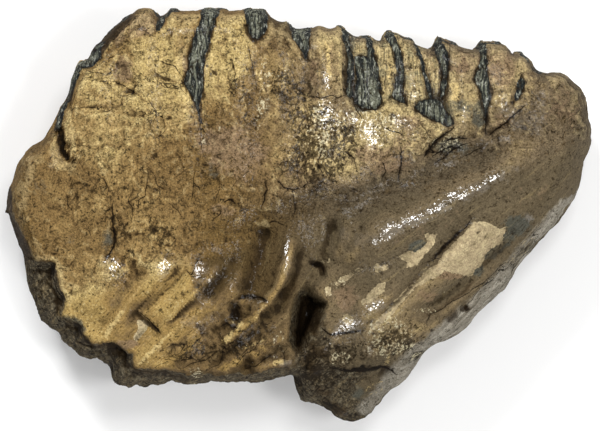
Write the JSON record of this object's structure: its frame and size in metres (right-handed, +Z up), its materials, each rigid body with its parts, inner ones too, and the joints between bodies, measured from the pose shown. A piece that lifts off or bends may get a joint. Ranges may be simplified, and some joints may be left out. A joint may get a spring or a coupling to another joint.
{
  "type": "fossil mammoth tooth",
  "caption": "Worn fossil molar lying on its side: enamel plates along the chewing edge, cement crown, fluted root below, deep cleft at the root edge",
  "frame": {"origin": "on the ground, under the middle of the tooth's box as it lies on its side", "axes": "+X along the row of enamel plates towards the narrow end, +Y from the roots to the chewing edge, +Z up out of the cheek side"},
  "size_m": [0.22, 0.157, 0.0838],
  "materials": {
    "varnished_fossil": "mineral-stained tan and brown cement, blue-black enamel bands and dark dentine under a broken coat of clear varnish"
  },
  "bodies": {
    "root": {"mammoth_tooth": "varnished_fossil"}
  },
  "joints": []
}
